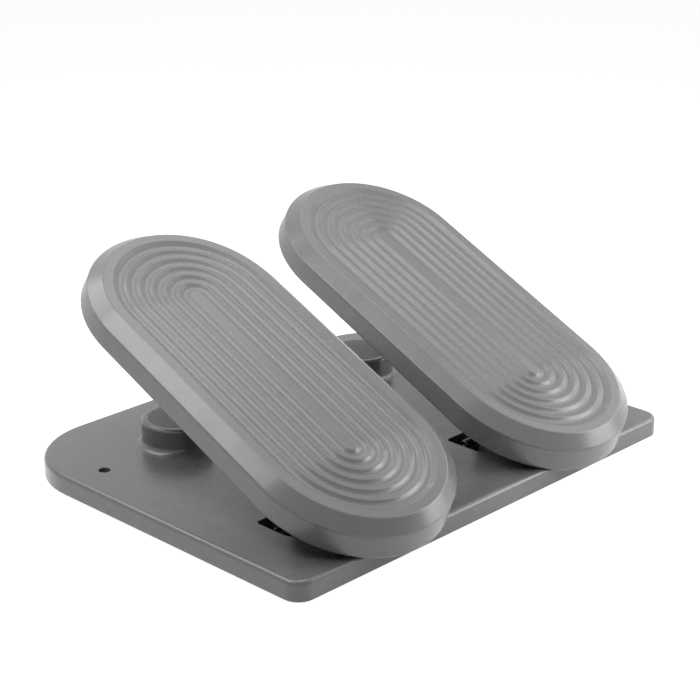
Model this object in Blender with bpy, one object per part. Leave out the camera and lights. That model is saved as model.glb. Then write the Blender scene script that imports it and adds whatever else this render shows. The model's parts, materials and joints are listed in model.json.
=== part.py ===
"""Under-desk footrest with two rocking pedals. Metres, +Z up, the user sits at -Y and the toes point to +Y."""

import math

import bmesh
import bpy
from mathutils import Matrix, Vector

# Where the base sits in the frame: the origin is the middle of the underside of the whole object
BASE_Y = 0.00819
BASE_Z = 0.0020

# Base plate
BASE_W = 0.3500
BASE_D = 0.2738
BASE_H = 0.0132
BASE_BACK_R = 0.0590
BASE_FRONT_R = 0.0118
BASE_EDGE_R = 0.0032
BASE_WALL = 0.0026
BASE_ROOF = 0.0026
COVER_LOW = 0.0002
COVER_TOP = 0.0024
GAP = 0.0003

# Stop bosses and their pads
BOSS_Y = 0.0672
BOSS_R = 0.0238
BOSS_TOP = 0.0308
BOSS_ROUND = 0.0032
BOSS_FILLET = 0.0044
PAD_R = 0.0196
PAD_TOP = 0.0313
PAD_BED = 0.0296

# Holes near the back corners
CORNER_HOLE_X = 0.1506
CORNER_HOLE_Y = 0.0658
CORNER_HOLE_R = 0.0038

# Hinge pockets, seen from above, about each pedal's centre line
PEDAL_X = 0.08695
POCKET_HALF = 0.0484
POCKET_FRONT = -0.0917
POCKET_BACK = -0.0598
POCKET_FRONT_R = 0.0080
POCKET_BACK_R = 0.0028

# Hinge
PIN_Y = -0.0680
PIN_Z = 0.0096
PIN_R = 0.0030
PIN_HALF = 0.0404
RING_X = 0.0306
BEARER_X = 0.0270
BEARER_T = 0.0050
BEARER_R = 0.0063
EAR_X = 0.0188
EAR_T = 0.0060
EAR_EYE_R = 0.0060
BUSH_R = 0.0042
BUSH_BORE_R = 0.00308
WIRE_R = 0.0010
SPRING_R = 0.0049
SPRING_PITCH = 0.0026
SPRING_CURLS = 8
SPRING_LEG = 0.0240
WEB_T = 0.0024

# Pedal, measured from the middle of its rim plane
TILT = math.radians(24.55)
PIN_V = -0.0729
PIN_W = -0.0560
RIM_ARC = 0.0750
WIDE_ARC = 0.0738
LOW_ARC = 0.0749
STRIP_R = 0.00395
FLUTE_PITCH = 0.00842
FLUTES = 6
FLUTE_SAG = 0.00115
RIM_R = 0.0613
WIDE_R = 0.0708
WIDE_DEPTH = 0.0073
SKIRT = 0.0012
LOW_R = 0.0712
LOW_DEPTH = 0.0224
HEEL_EXTRA = 0.0026
LOW_EDGE_R = 0.0022
SHELL_WALL = 0.0024

# Facets
ARC_STEPS = 16
FLUTE_STEPS = 4
ROUND_STEPS = 4

PLASTIC = (0.215, 0.215, 0.217, 1.0)
DARK_PLASTIC = (0.115, 0.115, 0.117, 1.0)
RUBBER = (0.035, 0.035, 0.036, 1.0)
STEEL = (0.55, 0.55, 0.56, 1.0)
BROWNED_STEEL = (0.12, 0.12, 0.125, 1.0)
ZINC = (0.46, 0.46, 0.48, 1.0)
BRONZE = (0.42, 0.30, 0.16, 1.0)


def clear_scene():
    for obj in list(bpy.data.objects):
        bpy.data.objects.remove(obj, do_unlink=True)


def material(name, colour, roughness, metallic):
    mat = bpy.data.materials.new(name)
    mat.use_nodes = True
    shader = mat.node_tree.nodes["Principled BSDF"]
    shader.inputs["Base Color"].default_value = colour
    shader.inputs["Roughness"].default_value = roughness
    shader.inputs["Metallic"].default_value = metallic
    return mat


# Mesh helpers

def add_rings(bm, rings, first_cap, last_cap):
    """Joins rings of the same length into a closed tube and returns nothing; a cap is a function or None."""
    rows = [[bm.verts.new(point) for point in ring] for ring in rings]
    count = len(rows[0])
    for low, high in zip(rows, rows[1:]):
        for i in range(count):
            j = (i + 1) % count
            bm.faces.new((low[i], low[j], high[j], high[i]))
    first_cap(bm, rows[0])
    last_cap(bm, rows[-1])


def flat_cap(bm, row):
    bm.faces.new(row)


def strip_cap(bm, row):
    """Closes a stadium ring with level strips from side to side, so that each face is flat."""
    n = len(row) // 2 - 1
    toe = row[: n + 1]
    heel = row[n + 1:]
    for arc in (toe, heel):
        for i in range(n // 2):
            corners = [arc[i], arc[i + 1], arc[n - i - 1], arc[n - i]]
            unique = list(dict.fromkeys(corners))
            bm.faces.new(unique)
    bm.faces.new((toe[0], toe[n], heel[0], heel[n]))


def finish(bm, name, mat=None, smooth=False):
    bmesh.ops.recalc_face_normals(bm, faces=bm.faces)
    mesh = bpy.data.meshes.new(name)
    bm.to_mesh(mesh)
    bm.free()
    obj = bpy.data.objects.new(name, mesh)
    bpy.context.scene.collection.objects.link(obj)
    if mat is not None:
        mesh.materials.append(mat)
    if smooth:
        mesh.shade_smooth()
    return obj


def loft(name, rings, mat=None, caps=(flat_cap, flat_cap), smooth=False):
    bm = bmesh.new()
    add_rings(bm, rings, caps[0], caps[1])
    return finish(bm, name, mat, smooth)


def circle(radius, z, steps, centre=(0.0, 0.0)):
    ring = []
    for i in range(steps):
        angle = 2 * math.pi * i / steps
        ring.append((centre[0] + radius * math.cos(angle), centre[1] + radius * math.sin(angle), z))
    return ring


def turned_tool(low, high, radius, place, steps):
    """Rings of an upright round bar from one height to another."""
    return turned_rings([(radius, low), (radius, high)], steps, place)


def turned_rings(profile, steps, centre=(0.0, 0.0)):
    """Rings of a turned shape from its (radius, height) points."""
    return [circle(radius, z, steps, centre) for radius, z in profile]


def along_x(rings, x, y, z):
    """Lays turned rings down, so that their axis runs along +X through the point."""
    return [[(x + h, y + a, z + b) for a, b, h in ring] for ring in rings]


def turned(name, profile, steps, mat=None, centre=(0.0, 0.0), smooth=False):
    return loft(name, turned_rings(profile, steps, centre), mat, smooth=smooth)


def many(name, list_of_rings, mat=None):
    """Several separate bodies in one mesh, used as a tool that cuts or joins."""
    bm = bmesh.new()
    for rings in list_of_rings:
        add_rings(bm, rings, flat_cap, flat_cap)
    return finish(bm, name, mat)


def rounded_outline(x0, x1, y0, y1, front_r, back_r, steps=6):
    points = []
    corners = (
        (x1 - back_r, y1 - back_r, back_r, 0),
        (x0 + back_r, y1 - back_r, back_r, 90),
        (x0 + front_r, y0 + front_r, front_r, 180),
        (x1 - front_r, y0 + front_r, front_r, 270),
    )
    for cx, cy, radius, start in corners:
        for i in range(steps + 1):
            angle = math.radians(start + 90 * i / steps)
            points.append((cx + radius * math.cos(angle), cy + radius * math.sin(angle)))
    return points


def prism(outline, z0, z1):
    return [[(x, y, z0) for x, y in outline], [(x, y, z1) for x, y in outline]]


def prism_x(outline, x0, x1):
    """A prism along X from an outline of (y, z) points."""
    return [[(x0, y, z) for y, z in outline], [(x1, y, z) for y, z in outline]]


def join(target, tool, operation):
    """A Boolean with a tool that was modelled in the same coordinates as its target."""
    tool.location = target.location
    tool.rotation_euler = target.rotation_euler
    modifier = target.modifiers.new(tool.name, "BOOLEAN")
    modifier.object = tool
    modifier.operation = operation
    modifier.solver = "EXACT"
    tool.hide_render = True
    tool.display_type = "WIRE"


def union(target, tool):
    join(target, tool, "UNION")


def cut(target, tool):
    join(target, tool, "DIFFERENCE")


def place_on_base(obj, x=0.0, y=0.0, z=0.0):
    """Puts an object modelled in base coordinates in the frame, with its origin at the point given."""
    if (x, y, z) != (0.0, 0.0, 0.0):
        obj.data.transform(Matrix.Translation((-x, -y, -z)))
    obj.location = (x, y + BASE_Y, z + BASE_Z)


# Base

def base_ring(inset, z):
    outline = rounded_outline(
        -BASE_W / 2 + inset, BASE_W / 2 - inset, -BASE_D / 2 + inset, BASE_D / 2 - inset,
        BASE_FRONT_R - inset, BASE_BACK_R - inset, steps=10,
    )
    return [(x, y, z) for x, y in outline]


def foot_places():
    return [(x, y) for y in (-0.118, 0.012, 0.104) for x in (-0.148, 0.148)]


def base_screw_places():
    return [
        (-0.163, -0.125), (0.0, -0.125), (0.163, -0.125),
        (-0.163, 0.040), (0.163, 0.040),
        (0.0, 0.000), (-0.060, 0.125), (0.060, 0.125),
    ]


def corner_hole_places():
    return [(-CORNER_HOLE_X, CORNER_HOLE_Y), (CORNER_HOLE_X, CORNER_HOLE_Y)]


def boss_places():
    return [(-PEDAL_X, BOSS_Y), (PEDAL_X, BOSS_Y)]


def pocket_outline(side, grow=0.0):
    middle = side * PEDAL_X
    return rounded_outline(
        middle - POCKET_HALF - grow, middle + POCKET_HALF + grow,
        POCKET_FRONT - grow, POCKET_BACK + grow,
        POCKET_FRONT_R + grow, POCKET_BACK_R + grow, steps=4,
    )


def boss_profile():
    """Half section of a stop boss: spreading foot, straight side, rounded shoulder and pad bed."""
    points = []
    for i in range(ROUND_STEPS + 1):
        angle = math.radians(90 * i / ROUND_STEPS)
        radius = BOSS_R + BOSS_FILLET * (1 - math.sin(angle))
        points.append((radius, BASE_H + BOSS_FILLET * (1 - math.cos(angle))))
    points.insert(0, (BOSS_R + BOSS_FILLET, BASE_H - 0.0010))
    for i in range(ROUND_STEPS + 1):
        angle = math.radians(90 * i / ROUND_STEPS)
        radius = BOSS_R - BOSS_ROUND * (1 - math.cos(angle))
        points.append((radius, BOSS_TOP - BOSS_ROUND * (1 - math.sin(angle))))
    points.append((PAD_R + GAP, BOSS_TOP))
    points.append((PAD_R + GAP, PAD_BED - GAP))
    return points


def bearer_outline():
    """Side view of a pin bearer: a wall across the pocket with a round hump over the pin."""
    low = COVER_TOP + GAP
    top = BASE_H - 0.0004
    front = POCKET_FRONT - 0.0012
    back = POCKET_BACK + 0.0012
    start = math.asin((top - PIN_Z) / BEARER_R)
    points = [(front, low), (back, low), (back, top)]
    for i in range(9):
        angle = start + (math.pi - 2 * start) * i / 8
        points.append((PIN_Y + BEARER_R * math.cos(angle), PIN_Z + BEARER_R * math.sin(angle)))
    points.append((front, top))
    return points


def notch_outline():
    """Side view of the notch that a pin lies in, open downward."""
    radius = PIN_R + GAP
    points = [(PIN_Y - radius, -0.0010), (PIN_Y + radius, -0.0010)]
    for i in range(9):
        angle = math.pi * i / 8
        points.append((PIN_Y + radius * math.cos(angle), PIN_Z + radius * math.sin(angle)))
    return points


def bearer_spans():
    spans = []
    for side in (-1, 1):
        for end in (-1, 1):
            middle = side * PEDAL_X + end * BEARER_X
            spans.append((middle - BEARER_T / 2, middle + BEARER_T / 2))
    return spans


def build_base_top(mat):
    rings = []
    for i in range(ROUND_STEPS + 1):
        angle = math.radians(90 * i / ROUND_STEPS)
        height = BASE_H - BASE_EDGE_R * (1 - math.cos(angle))
        rings.append(base_ring(BASE_EDGE_R * (1 - math.sin(angle)), height))
    rings.append(base_ring(0.0, 0.0))
    rings.append(base_ring(BASE_WALL, 0.0))
    rings.append(base_ring(BASE_WALL, BASE_H - BASE_ROOF))
    shell = loft("base_top_shell", rings, mat)
    place_on_base(shell)

    profile = boss_profile()
    union(shell, many("tool_bosses", [turned_rings(profile, 36, place) for place in boss_places()]))

    # Walls round the pockets and holes, and posts for the cover's screws
    low = COVER_TOP + GAP
    roof = BASE_H - 0.0010
    pieces = [prism(pocket_outline(side, 0.0024), low, roof) for side in (-1, 1)]
    pieces += [turned_tool(low, roof, 0.0062, place, 12) for place in corner_hole_places()]
    pieces += [turned_tool(low, roof, 0.0040, place, 8) for place in base_screw_places()]
    union(shell, many("tool_base_posts", pieces))

    above = BASE_H + 0.0020
    hollow = [turned_tool(-0.0010, BOSS_TOP - 0.0058, BOSS_R - 0.0030, place, 20) for place in boss_places()]
    hollow += [prism(pocket_outline(side), -0.0010, above) for side in (-1, 1)]
    hollow += [turned_tool(-0.0010, above, CORNER_HOLE_R, place, 16) for place in corner_hole_places()]
    hollow += [turned_tool(-0.0010, BASE_H - 0.0022, 0.0018, place, 8) for place in base_screw_places()]
    cut(shell, many("tool_base_hollows", hollow))

    spans = bearer_spans()
    union(shell, many("tool_bearers", [prism_x(bearer_outline(), x0, x1) for x0, x1 in spans]))
    cut(shell, many("tool_notches", [prism_x(notch_outline(), x0 - 0.001, x1 + 0.001) for x0, x1 in spans]))


def build_base_cover(mat):
    inset = BASE_WALL + GAP
    cover = loft("base_bottom_cover", [base_ring(inset, COVER_LOW), base_ring(inset, COVER_TOP)], mat)
    place_on_base(cover)
    saddles = []
    for x0, x1 in bearer_spans():
        y0 = PIN_Y - 0.0027
        y1 = PIN_Y + 0.0027
        top = PIN_Z - PIN_R - GAP
        outline = [(y0, COVER_TOP - 0.0010), (y1, COVER_TOP - 0.0010), (y1, top), (y0, top)]
        saddles.append(prism_x(outline, x0, x1))
    union(cover, many("tool_saddles", saddles))
    holes = [turned_tool(-0.0010, 0.0011, 0.0093, place, 20) for place in foot_places()]
    sunk = [(0.0035, -0.0010), (0.0035, 0.0013), (0.0020, 0.0013), (0.0020, 0.0040)]
    holes += [turned_rings(sunk, 8, place) for place in base_screw_places()]
    holes += [turned_tool(-0.0010, 0.0040, 0.0044, place, 16) for place in corner_hole_places()]
    cut(cover, many("tool_cover_holes", holes))


def build_feet(mat):
    names = ("front_left", "front_right", "middle_left", "middle_right", "back_left", "back_right")
    profile = [(0.0078, -0.0020), (0.0086, -0.0016), (0.0090, -0.0008), (0.0090, 0.0008)]
    for name, place in zip(names, foot_places()):
        foot = turned("rubber_foot_" + name, profile, 20, mat, place, smooth=False)
        place_on_base(foot, place[0], place[1], 0.0)


def screw_profile(head_r, head_h, shank_r, length):
    """Half section of a pan-head screw, from the driver recess round the head to the tip."""
    return [
        (0.0011, head_h * 0.6), (0.0013, 0.0), (head_r * 0.75, 0.0), (head_r, head_h * 0.5),
        (head_r, head_h), (shank_r, head_h), (shank_r * 0.6, length),
    ]


def build_base_screws(mat):
    profile = [(radius, z + COVER_LOW) for radius, z in screw_profile(0.0030, 0.0008, 0.0015, 0.0094)]
    for i, place in enumerate(base_screw_places()):
        screw = turned("base_screw_%d" % (i + 1), profile, 8, mat, place)
        place_on_base(screw, place[0], place[1], 0.0)


def build_stop_pads(mat):
    profile = [
        (PAD_R - 0.0010, PAD_BED), (PAD_R, PAD_BED + 0.0004), (PAD_R, PAD_TOP - 0.0006),
        (PAD_R - 0.0002, PAD_TOP - 0.0002), (PAD_R - 0.0006, PAD_TOP),
    ]
    for name, side in (("left", -1), ("right", 1)):
        centre = (side * PEDAL_X, BOSS_Y)
        pad = turned("stop_pad_" + name, profile, 36, mat, centre)
        place_on_base(pad, centre[0], centre[1], PAD_BED)


# Hinge

def build_pin(name, side, mat):
    half = PIN_HALF
    groove0 = RING_X - 0.0008
    groove1 = RING_X + 0.0008
    groove_r = 0.0024
    profile = [
        (0.0010, -half + 0.0006), (0.0013, -half), (PIN_R - 0.0005, -half), (PIN_R, -half + 0.0005),
        (PIN_R, -groove1), (groove_r, -groove1), (groove_r, -groove0), (PIN_R, -groove0),
        (PIN_R, groove0), (groove_r, groove0), (groove_r, groove1), (PIN_R, groove1),
        (PIN_R, half - 0.0005), (PIN_R - 0.0005, half), (0.0013, half), (0.0010, half - 0.0006),
    ]
    x = side * PEDAL_X
    rings = along_x(turned_rings(profile, 16), x, PIN_Y, PIN_Z)
    pin = loft("hinge_pin_" + name, rings, mat)
    place_on_base(pin, x, PIN_Y, PIN_Z)


def build_retaining_ring(name, x, mat):
    """An open ring that snaps into the groove of a pin."""
    outer, inner, half_gap = 0.0048, 0.0027, math.radians(38)
    outline = []
    for i in range(17):
        angle = -math.pi / 2 + half_gap + (2 * math.pi - 2 * half_gap) * i / 16
        outline.append((PIN_Y + outer * math.cos(angle), PIN_Z + outer * math.sin(angle)))
    for i in range(17):
        angle = -math.pi / 2 - half_gap - (2 * math.pi - 2 * half_gap) * i / 16
        outline.append((PIN_Y + inner * math.cos(angle), PIN_Z + inner * math.sin(angle)))
    bm = bmesh.new()
    rows = [[bm.verts.new((px, y, z)) for y, z in outline] for px in (x - 0.0005, x + 0.0005)]
    count = len(outline)
    for i in range(count):
        j = (i + 1) % count
        bm.faces.new((rows[0][i], rows[0][j], rows[1][j], rows[1][i]))
    for row in rows:
        for i in range(16):
            bm.faces.new((row[i], row[i + 1], row[count - 2 - i], row[count - 1 - i]))
    ring = finish(bm, name, mat)
    place_on_base(ring, x, PIN_Y, PIN_Z)


def wire_path(side):
    """Centre line of a torsion spring: a leg on the base, curls round the pin, a leg up to the pedal."""
    start_x = side * PEDAL_X - SPRING_CURLS * SPRING_PITCH / 2
    points = []
    for back in (0.0190, 0.0110, 0.0030):
        points.append(Vector((start_x, PIN_Y + back, PIN_Z + SPRING_R)))
    # The curls go on until the wire stands square to the pedal
    rise = math.pi / 2 + TILT
    sweep = 2 * math.pi * SPRING_CURLS - (math.pi - rise)
    count = round(9 * sweep / (2 * math.pi))
    for i in range(count + 1):
        turn = sweep * i / count
        angle = math.pi / 2 + turn
        x = start_x + SPRING_PITCH * turn / (2 * math.pi)
        across = SPRING_R * math.cos(angle)
        points.append(Vector((x, PIN_Y + across, PIN_Z + SPRING_R * math.sin(angle))))
    end = points[-1]
    along = Vector((0.0, math.cos(rise), math.sin(rise)))
    for reach in (0.004, 0.014, SPRING_LEG):
        points.append(end + along * reach)
    return points


def least_gap(points, wire_r):
    """Least free distance between parts of the wire that aren't neighbours along it."""
    dense = []
    for a, b in zip(points, points[1:]):
        for i in range(4):
            dense.append(a.lerp(b, i / 4))
    dense.append(points[-1])
    lengths = [0.0]
    for a, b in zip(dense, dense[1:]):
        lengths.append(lengths[-1] + (b - a).length)
    least = 1.0
    for i in range(len(dense)):
        for j in range(i + 1, len(dense)):
            if lengths[j] - lengths[i] > 0.012:
                least = min(least, (dense[i] - dense[j]).length)
    return least - 2 * wire_r


def build_spring(name, side, mat):
    points = wire_path(side)
    curve = bpy.data.curves.new("torsion_spring_" + name, "CURVE")
    curve.dimensions = "3D"
    curve.bevel_depth = WIRE_R
    curve.bevel_resolution = 1
    curve.use_fill_caps = True
    spline = curve.splines.new("POLY")
    spline.points.add(len(points) - 1)
    origin = Vector((side * PEDAL_X, PIN_Y, PIN_Z))
    for target, point in zip(spline.points, points):
        target.co = (*(point - origin), 1.0)
    curve.materials.append(mat)
    spring = bpy.data.objects.new("torsion_spring_" + name, curve)
    bpy.context.scene.collection.objects.link(spring)
    spring.location = origin + Vector((0.0, BASE_Y, BASE_Z))
    gap = 1000 * least_gap(points, WIRE_R)
    print("torsion spring", name, "least gap to itself %.2f mm" % gap)


# Pedals: (u, v, w) are across, along to the toe and up from the middle of the rim plane

def stadium(radius, arc, depth_of):
    """One outline of the pedal: a half circle at the toe end and one at the heel end, arc out from the middle."""
    ring = []
    for start, centre in ((0.0, arc), (math.pi, -arc)):
        for i in range(ARC_STEPS + 1):
            angle = start + math.pi * i / ARC_STEPS
            v = centre + radius * math.sin(angle)
            ring.append((radius * math.cos(angle), v - PIN_V, -depth_of(v) - PIN_W))
    return ring


def level(depth):
    return lambda v: depth


def floor_depth(v):
    """Depth of the underside, which runs a little deeper toward the heel."""
    part = max(0.0, (-v - 0.010) / 0.1335)
    return LOW_DEPTH + HEEL_EXTRA * part ** 1.4


def raised_floor(rise):
    return lambda v: floor_depth(v) - rise


def top_profile():
    """Half section of the foot surface from the centre strip to the bevelled edge, as (radius, arc, depth)."""
    points = [(STRIP_R, RIM_ARC, 0.0)]
    for flute in range(FLUTES):
        inner = STRIP_R + FLUTE_PITCH * flute
        for i in range(1, FLUTE_STEPS + 1):
            part = i / FLUTE_STEPS
            sag = FLUTE_SAG * (1 - (2 * part - 1) ** 2)
            points.append((inner + FLUTE_PITCH * part, RIM_ARC, sag))
    points += [(RIM_R - 0.0006, RIM_ARC, 0.0), (RIM_R + 0.0003, RIM_ARC, 0.0003)]
    points += [(WIDE_R - 0.0006, WIDE_ARC, WIDE_DEPTH - 0.0005), (WIDE_R, WIDE_ARC, WIDE_DEPTH + 0.0004)]
    points.append((WIDE_R, WIDE_ARC, WIDE_DEPTH + SKIRT))
    return points


def pedal_screw_places():
    return [(u, v) for v in (-0.104, 0.008, 0.104) for u in (-0.036, 0.036)]


def screw_seat(v):
    """Depth at which the head of a pedal screw sits, up inside the floor."""
    return floor_depth(v) - 0.0016


def to_pedal(point):
    u, v, w = point
    return (u, v - PIN_V, w - PIN_W)


def pedal_rings(rings):
    return [[to_pedal(point) for point in ring] for ring in rings]


def put_pedal(obj, side):
    obj.location = (side * PEDAL_X, PIN_Y + BASE_Y, PIN_Z + BASE_Z)
    obj.rotation_euler = (TILT, 0.0, 0.0)


def build_pedal_top(name, side, mat):
    rings = [stadium(radius, arc, level(depth)) for radius, arc, depth in top_profile()]
    wall = SHELL_WALL
    rings.append(stadium(WIDE_R - wall, WIDE_ARC, level(WIDE_DEPTH + SKIRT)))
    rings.append(stadium(WIDE_R - wall, WIDE_ARC, level(WIDE_DEPTH + 0.0006)))
    rings.append(stadium(RIM_R - wall, RIM_ARC, level(0.0036)))
    shell = loft("pedal_top_shell_" + name, rings, mat, caps=(strip_cap, strip_cap))
    put_pedal(shell, side)
    posts = []
    bores = []
    for u, v in pedal_screw_places():
        end = -screw_seat(v) + 0.0030
        posts.append(pedal_rings(turned_tool(end, -0.0030, 0.0038, (u, v), 8)))
        bores.append(pedal_rings(turned_tool(end - 0.001, -0.0068, 0.0018, (u, v), 8)))
    union(shell, many("tool_posts_" + name, posts))
    cut(shell, many("tool_bores_" + name, bores))


def ear_outline():
    """Side view of a hinge ear as (v, w) from the pin: wide at the pedal floor, round at the pin."""
    top = -floor_depth(PIN_V) - PIN_W + 0.0012
    points = [(-0.0200, top), (-0.0200, top - 0.0040)]
    for i in range(9):
        angle = math.radians(190 + 170 * i / 8)
        points.append((EAR_EYE_R * math.cos(angle), EAR_EYE_R * math.sin(angle)))
    points += [(EAR_EYE_R, 0.0050), (0.0230, top - 0.0040), (0.0230, top)]
    return points


def build_pedal_lower(name, side, mat):
    start = WIDE_DEPTH + SKIRT + 0.0005
    wall = SHELL_WALL
    rings = [stadium(WIDE_R - 0.0004, WIDE_ARC, level(start))]
    for i in range(ROUND_STEPS):
        angle = math.radians(90 * i / (ROUND_STEPS - 1))
        rise = LOW_EDGE_R * (1 - math.sin(angle))
        radius = LOW_R - LOW_EDGE_R * (1 - math.cos(angle))
        rings.append(stadium(radius, LOW_ARC, raised_floor(rise)))
    inner_low = stadium(LOW_R - wall, LOW_ARC, raised_floor(0.0026))
    inner_top = stadium(WIDE_R - 0.0004 - wall, WIDE_ARC, level(start))
    rings = [inner_low, inner_top] + rings
    shell = loft("pedal_lower_shell_" + name, rings, mat, caps=(strip_cap, strip_cap))
    put_pedal(shell, side)

    ears = []
    for end in (-1, 1):
        x0 = end * EAR_X - EAR_T / 2
        ears.append(prism_x(ear_outline(), x0, x0 + EAR_T))
    union(shell, many("tool_ears_" + name, ears))
    # The spring's upper leg bears on a web between the ears
    face = SPRING_R - WIRE_R - GAP
    top = -floor_depth(PIN_V) - PIN_W + 0.0010
    web = [(face - WEB_T, 0.0090), (face, 0.0090), (face, top), (face - WEB_T, top)]
    reach = EAR_X - EAR_T / 2 + 0.0008
    union(shell, many("tool_web_" + name, [prism_x(web, -reach, reach)]))

    rims = []
    for u, v in pedal_screw_places():
        low = -floor_depth(v) + 0.0012
        rims.append(pedal_rings(turned_tool(low, -screw_seat(v) + 0.0026, 0.0052, (u, v), 8)))
    union(shell, many("tool_seats_" + name, rims))

    holes = []
    for end in (-1, 1):
        x0 = end * EAR_X - EAR_T / 2 - 0.001
        eye = turned_tool(0.0, EAR_T + 0.002, BUSH_R + GAP, (0.0, 0.0), 16)
        holes.append(along_x(eye, x0, 0.0, 0.0))
    for u, v in pedal_screw_places():
        seat = -screw_seat(v)
        below = -floor_depth(v) - 0.003
        profile = [(0.0036, below), (0.0036, seat), (0.0021, seat), (0.0021, seat + 0.006)]
        holes.append(pedal_rings(turned_rings(profile, 8, (u, v))))
    cut(shell, many("tool_holes_" + name, holes))


def build_bushes(name, side, mat):
    """Flanged bushes in the ears; each flange faces the bearer beside it."""
    start = EAR_X - EAR_T / 2 - 0.0003
    face = EAR_X + EAR_T / 2 + 0.0003
    steps = 16
    profile = [
        (BUSH_BORE_R, start), (BUSH_R, start), (BUSH_R, face),
        (0.0056, face), (0.0056, face + 0.0010), (BUSH_BORE_R, face + 0.0010),
    ]
    for label, end in (("left", -1), ("right", 1)):
        rings = along_x(turned_rings(profile, steps), 0.0, 0.0, 0.0)
        if end < 0:
            rings = [[(-x, y, z) for x, y, z in ring] for ring in rings]
        bm = bmesh.new()
        rows = [[bm.verts.new(point) for point in ring] for ring in rings]
        rows.append(rows[0])
        for low, high in zip(rows, rows[1:]):
            for i in range(steps):
                j = (i + 1) % steps
                bm.faces.new((low[i], low[j], high[j], high[i]))
        bush = finish(bm, "hinge_bush_%s_%s" % (name, label), mat)
        put_pedal(bush, side)


def build_pedal_screws(name, side, mat):
    for i, (u, v) in enumerate(pedal_screw_places()):
        seat = -screw_seat(v)
        length = screw_seat(v) - 0.0074
        low = seat - GAP - 0.0013
        profile = [(radius, low + z) for radius, z in screw_profile(0.0031, 0.0013, 0.0015, length)]
        rings = pedal_rings(turned_rings(profile, 8, (u, v)))
        screw = loft("pedal_screw_%s_%d" % (name, i + 1), rings, mat)
        put_pedal(screw, side)


def main():
    clear_scene()
    plastic = material("grey satin plastic", PLASTIC, 0.42, 0.0)
    under = material("grey under-shell plastic", PLASTIC, 0.48, 0.0)
    cover = material("dark cover plastic", DARK_PLASTIC, 0.55, 0.0)
    rubber = material("black rubber", RUBBER, 0.80, 0.0)
    pad = material("grey stop pad rubber", PLASTIC, 0.62, 0.0)
    steel = material("browned steel", BROWNED_STEEL, 0.38, 1.0)
    spring_steel = material("spring steel", STEEL, 0.38, 1.0)
    zinc = material("zinc-plated steel", ZINC, 0.40, 1.0)
    bronze = material("sintered bronze", BRONZE, 0.50, 1.0)
    build_base_top(plastic)
    build_base_cover(cover)
    build_feet(rubber)
    build_base_screws(zinc)
    build_stop_pads(pad)
    for name, side in (("left", -1), ("right", 1)):
        build_pin(name, side, steel)
        for end in (-1, 1):
            label = "left" if end < 0 else "right"
            x = side * PEDAL_X + end * RING_X
            build_retaining_ring("retaining_ring_%s_%s" % (name, label), x, zinc)
        build_spring(name, side, spring_steel)
        build_pedal_top(name, side, plastic)
        build_pedal_lower(name, side, under)
        build_bushes(name, side, bronze)
        build_pedal_screws(name, side, zinc)


main()
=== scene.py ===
"""Dresses an under-desk footrest with two rocking pedals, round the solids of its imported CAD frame.

Metres, +Z up. The user sits at -Y and the toes point to +Y. Run as a script in Blender 4.5.
"""

import json
import math

import bmesh
import bpy
from bpy.props import FloatProperty, FloatVectorProperty, PointerProperty
from bpy.types import Operator, Panel, PropertyGroup
from mathutils import Matrix, Vector


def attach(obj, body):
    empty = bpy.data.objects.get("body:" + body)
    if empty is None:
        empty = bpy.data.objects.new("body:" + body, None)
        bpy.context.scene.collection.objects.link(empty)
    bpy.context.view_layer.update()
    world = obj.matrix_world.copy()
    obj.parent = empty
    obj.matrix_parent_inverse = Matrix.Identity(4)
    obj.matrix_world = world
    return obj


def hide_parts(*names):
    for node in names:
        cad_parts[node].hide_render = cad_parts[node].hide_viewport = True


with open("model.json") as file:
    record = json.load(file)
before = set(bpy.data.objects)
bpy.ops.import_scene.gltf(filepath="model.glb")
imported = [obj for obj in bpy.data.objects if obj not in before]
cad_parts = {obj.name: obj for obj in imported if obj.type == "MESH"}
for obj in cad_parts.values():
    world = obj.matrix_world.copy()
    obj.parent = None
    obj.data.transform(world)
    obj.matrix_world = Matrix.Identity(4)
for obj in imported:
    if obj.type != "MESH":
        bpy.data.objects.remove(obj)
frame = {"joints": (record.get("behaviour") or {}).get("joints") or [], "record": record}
# Blender's own start-up objects aren't part of the picture
for start_object in ("Cube", "Light", "Camera"):
    if start_object in bpy.data.objects:
        bpy.data.objects.remove(bpy.data.objects[start_object])
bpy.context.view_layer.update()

bl_info = {
    "name": "Rocking Footrest",
    "version": (1, 0, 0),
    "blender": (4, 5, 0),
    "location": "3D View > Sidebar > Footrest",
    "description": "Builds the dressed pieces of a two-pedal rocking footrest and its studio",
    "category": "Object",
}

SIDES = (("left", -1), ("right", 1))
COLOURS = {row["slot"]: tuple(row["base_color"]) for row in frame["record"]["materials"]}
HINGES = {row["child"]: Vector(row["pos_m"]) for row in frame["joints"]}

# Where the base stands in the frame, and its thin-wall sizes
BASE_Y = 0.00819
BASE_Z = 0.0020
WALL = 0.0026
ROOF = 0.0026
GAP = 0.0003
COVER_LOW = 0.0002
COVER_TOP = 0.0024
PEDAL_X = HINGES["right_pedal"].x

# Stop bosses, holes and hinge pockets, in base coordinates
BOSS_Y = 0.0672
BOSS_WALL = 0.0030
BOSS_ROOF = 0.0058
PAD_R = 0.0196
PAD_TOP = 0.0308
PAD_BED = 0.0296
CORNER_HOLES = ((-0.1506, 0.0658), (0.1506, 0.0658))
POCKET_HALF = 0.0484
POCKET_FRONT = -0.0917
POCKET_BACK = -0.0598
POCKET_FRONT_R = 0.0080
POCKET_BACK_R = 0.0028

# Under the base, in base coordinates: feet, and the screws of the cover
FOOT_X = 0.148
FOOT_ROWS = (-0.118, 0.012, 0.104)
COVER_SCREWS = (
    (-0.163, -0.125), (0.0, -0.125), (0.163, -0.125),
    (-0.163, 0.040), (0.163, 0.040),
    (0.0, 0.000), (-0.060, 0.125), (0.060, 0.125),
)

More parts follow.
